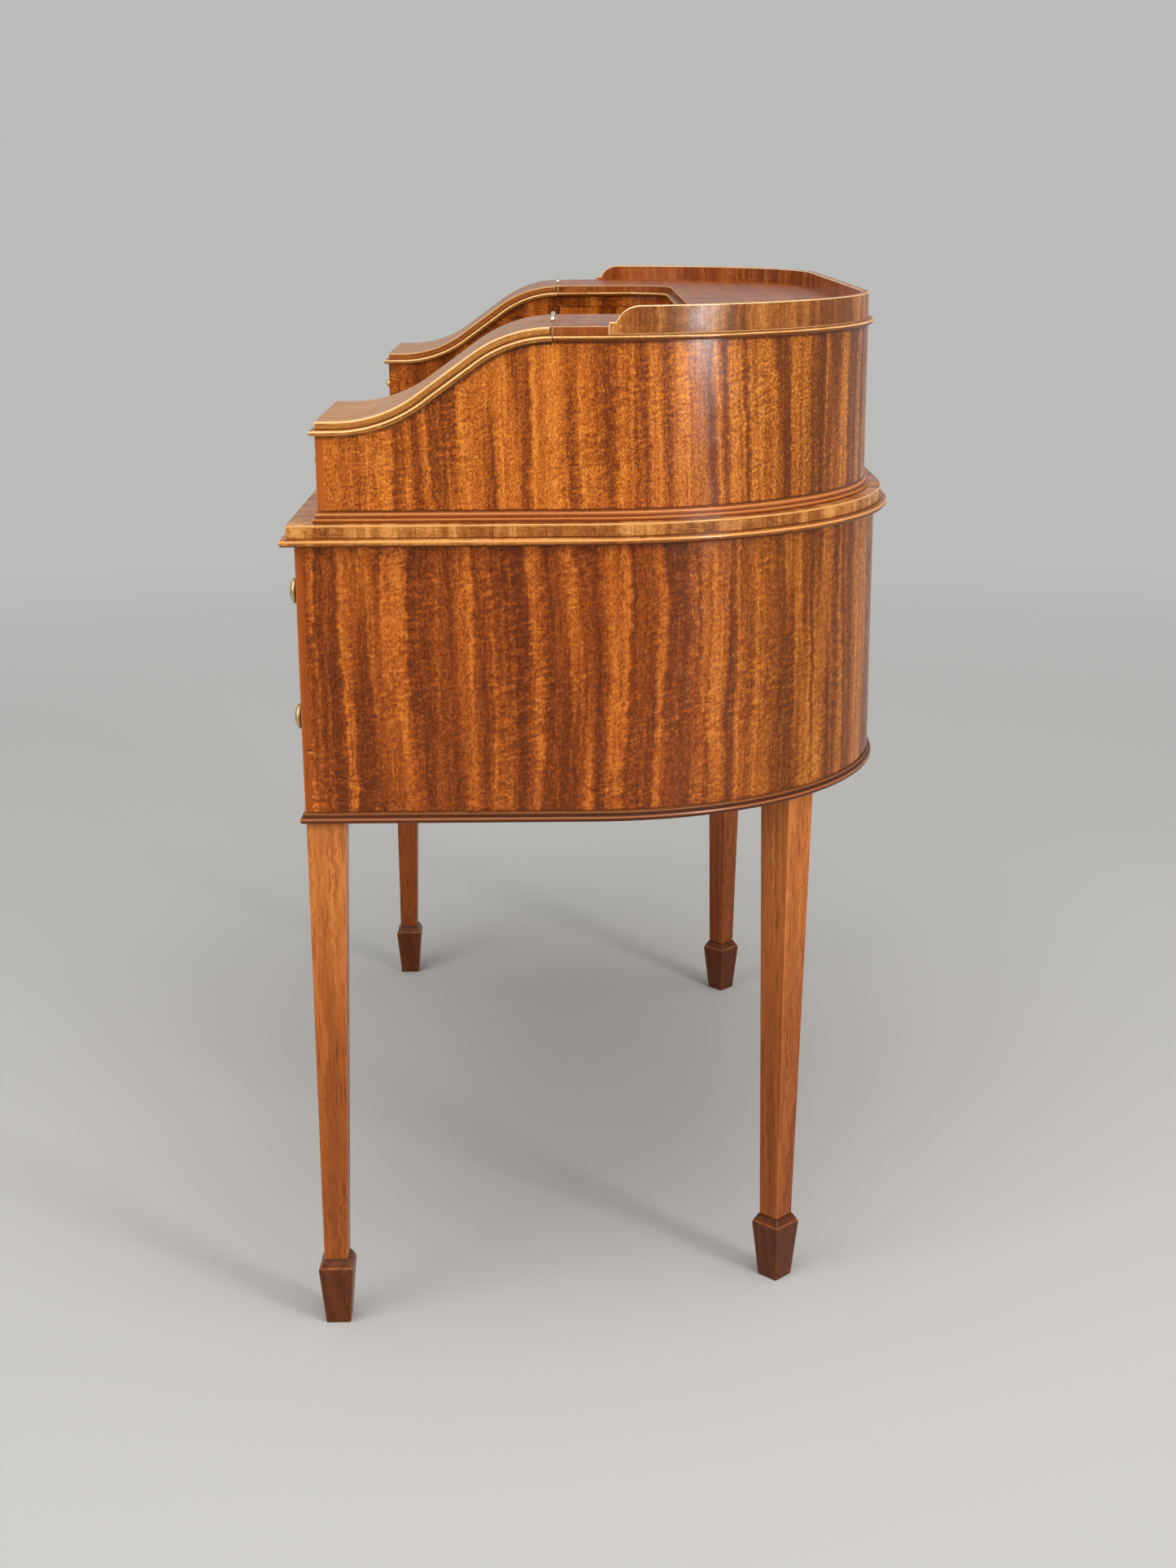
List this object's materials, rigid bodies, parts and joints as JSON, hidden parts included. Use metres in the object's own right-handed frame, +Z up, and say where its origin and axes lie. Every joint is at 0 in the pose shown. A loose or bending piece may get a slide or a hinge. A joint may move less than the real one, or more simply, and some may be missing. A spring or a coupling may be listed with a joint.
{
  "type": "carlton house desk",
  "caption": "D-shaped writing desk on square tapered legs with spade feet, with drawers, and a U-shaped superstructure with curved lifting lids, drawers, pigeonholes and a gallery.",
  "frame": {"origin": "on the floor, in the middle of the desk's outline", "axes": "+X to the sitter's right, +Y from the sitter to the curved back, +Z up"},
  "size_m": [1.016, 0.566, 0.943],
  "materials": {
    "case_veneer": "figured mahogany veneer, polished",
    "top_veneer": "mahogany veneer, crossbanded, polished",
    "solid_mahogany": "solid mahogany, polished",
    "dark_mahogany": "solid mahogany, darkened by handling",
    "bead_wood": "solid mahogany mouldings, polished",
    "lid_veneer": "mahogany veneer on a bent board, polished",
    "door_veneer": "figured mahogany veneer, polished",
    "drawer_veneer": "mahogany front, pale secondary wood box",
    "inner_boards": "plain secondary wood, unpolished",
    "writing_leather": "dark green, satin",
    "hinge_brass": "worn brass",
    "knob_brass": "lacquered brass, worn"
  },
  "bodies": {
    "carcase": {"bank_dividers": "solid_mahogany", "base_board": "solid_mahogany", "bottom_moulding": "bead_wood", "case_bottoms": "inner_boards", "case_rim": "case_veneer", "cornice_bead": "bead_wood", "desk_top": "top_veneer", "door_pins": "hinge_brass", "drawer_rails": "solid_mahogany", "gallery": "solid_mahogany", "inner_frieze": "door_veneer", "kneehole_sides": "case_veneer", "leg_back_left": "solid_mahogany", "leg_back_right": "solid_mahogany", "leg_front_left": "solid_mahogany", "leg_front_right": "solid_mahogany", "lid_hinge_fixed": "hinge_brass", "spade_feet": "dark_mahogany", "top_bead": "bead_wood", "upper_rim": "case_veneer", "upper_top": "top_veneer", "wing_dividers": "solid_mahogany", "wing_inner_sides": "case_veneer", "writing_leather": "writing_leather"},
    "lid_left": {"lid_left": "lid_veneer", "lid_bead_left": "bead_wood", "lid_hinge_leaf_left": "hinge_brass"},
    "corner_door_left": {"corner_door_left": "door_veneer", "door_knob_left": "knob_brass"},
    "lid_right": {"lid_right": "lid_veneer", "lid_bead_right": "bead_wood", "lid_hinge_leaf_right": "hinge_brass"},
    "corner_door_right": {"corner_door_right": "door_veneer", "door_knob_right": "knob_brass"},
    "drawer_centre": {"drawer_centre": "drawer_veneer", "large_knob_centre": "knob_brass"},
    "drawer_upper_left": {"drawer_upper_left": "drawer_veneer", "large_knob_upper_left": "knob_brass"},
    "drawer_lower_left": {"drawer_lower_left": "drawer_veneer", "large_knob_lower_left": "knob_brass"},
    "drawer_upper_right": {"drawer_upper_right": "drawer_veneer", "large_knob_upper_right": "knob_brass"},
    "drawer_lower_right": {"drawer_lower_right": "drawer_veneer", "large_knob_lower_right": "knob_brass"},
    "wing_drawer_left": {"wing_drawer_left": "drawer_veneer", "wing_knob_left": "knob_brass"},
    "wing_drawer_right": {"wing_drawer_right": "drawer_veneer", "wing_knob_right": "knob_brass"},
    "bank_drawer_1": {"bank_drawer_1": "drawer_veneer", "bank_knob_1": "knob_brass"},
    "bank_drawer_2": {"bank_drawer_2": "drawer_veneer", "bank_knob_2": "knob_brass"},
    "bank_drawer_3": {"bank_drawer_3": "drawer_veneer", "bank_knob_3": "knob_brass"}
  },
  "joints": [
    {"name": "lid_left_hinge", "type": "hinge", "parent": "carcase", "child": "lid_left", "pos_m": [-0.393, -0.038, 0.9293], "axis": [-1, 0, 0], "range_deg": [0, 120]},
    {"name": "corner_door_left_pivot", "type": "hinge", "parent": "carcase", "child": "corner_door_left", "pos_m": [-0.303, -0.0336, 0.8363], "axis": [0, 0, -1], "range_deg": [0, 95]},
    {"name": "lid_right_hinge", "type": "hinge", "parent": "carcase", "child": "lid_right", "pos_m": [0.393, -0.038, 0.9293], "axis": [-1, 0, 0], "range_deg": [0, 120]},
    {"name": "corner_door_right_pivot", "type": "hinge", "parent": "carcase", "child": "corner_door_right", "pos_m": [0.303, -0.0336, 0.8363], "axis": [0, 0, 1], "range_deg": [0, 95]},
    {"name": "drawer_centre_slide", "type": "slide", "parent": "carcase", "child": "drawer_centre", "axis": [0, -1, 0], "range_m": [0, 0.22]},
    {"name": "drawer_upper_left_slide", "type": "slide", "parent": "carcase", "child": "drawer_upper_left", "axis": [0, -1, 0], "range_m": [0, 0.2]},
    {"name": "drawer_lower_left_slide", "type": "slide", "parent": "carcase", "child": "drawer_lower_left", "axis": [0, -1, 0], "range_m": [0, 0.2]},
    {"name": "drawer_upper_right_slide", "type": "slide", "parent": "carcase", "child": "drawer_upper_right", "axis": [0, -1, 0], "range_m": [0, 0.2]},
    {"name": "drawer_lower_right_slide", "type": "slide", "parent": "carcase", "child": "drawer_lower_right", "axis": [0, -1, 0], "range_m": [0, 0.2]},
    {"name": "wing_drawer_left_slide", "type": "slide", "parent": "carcase", "child": "wing_drawer_left", "axis": [0, -1, 0], "range_m": [0, 0.13]},
    {"name": "wing_drawer_right_slide", "type": "slide", "parent": "carcase", "child": "wing_drawer_right", "axis": [0, -1, 0], "range_m": [0, 0.13]},
    {"name": "bank_drawer_1_slide", "type": "slide", "parent": "carcase", "child": "bank_drawer_1", "axis": [0, -1, 0], "range_m": [0, 0.1]},
    {"name": "bank_drawer_2_slide", "type": "slide", "parent": "carcase", "child": "bank_drawer_2", "axis": [0, -1, 0], "range_m": [0, 0.1]},
    {"name": "bank_drawer_3_slide", "type": "slide", "parent": "carcase", "child": "bank_drawer_3", "axis": [0, -1, 0], "range_m": [0, 0.1]}
  ]
}
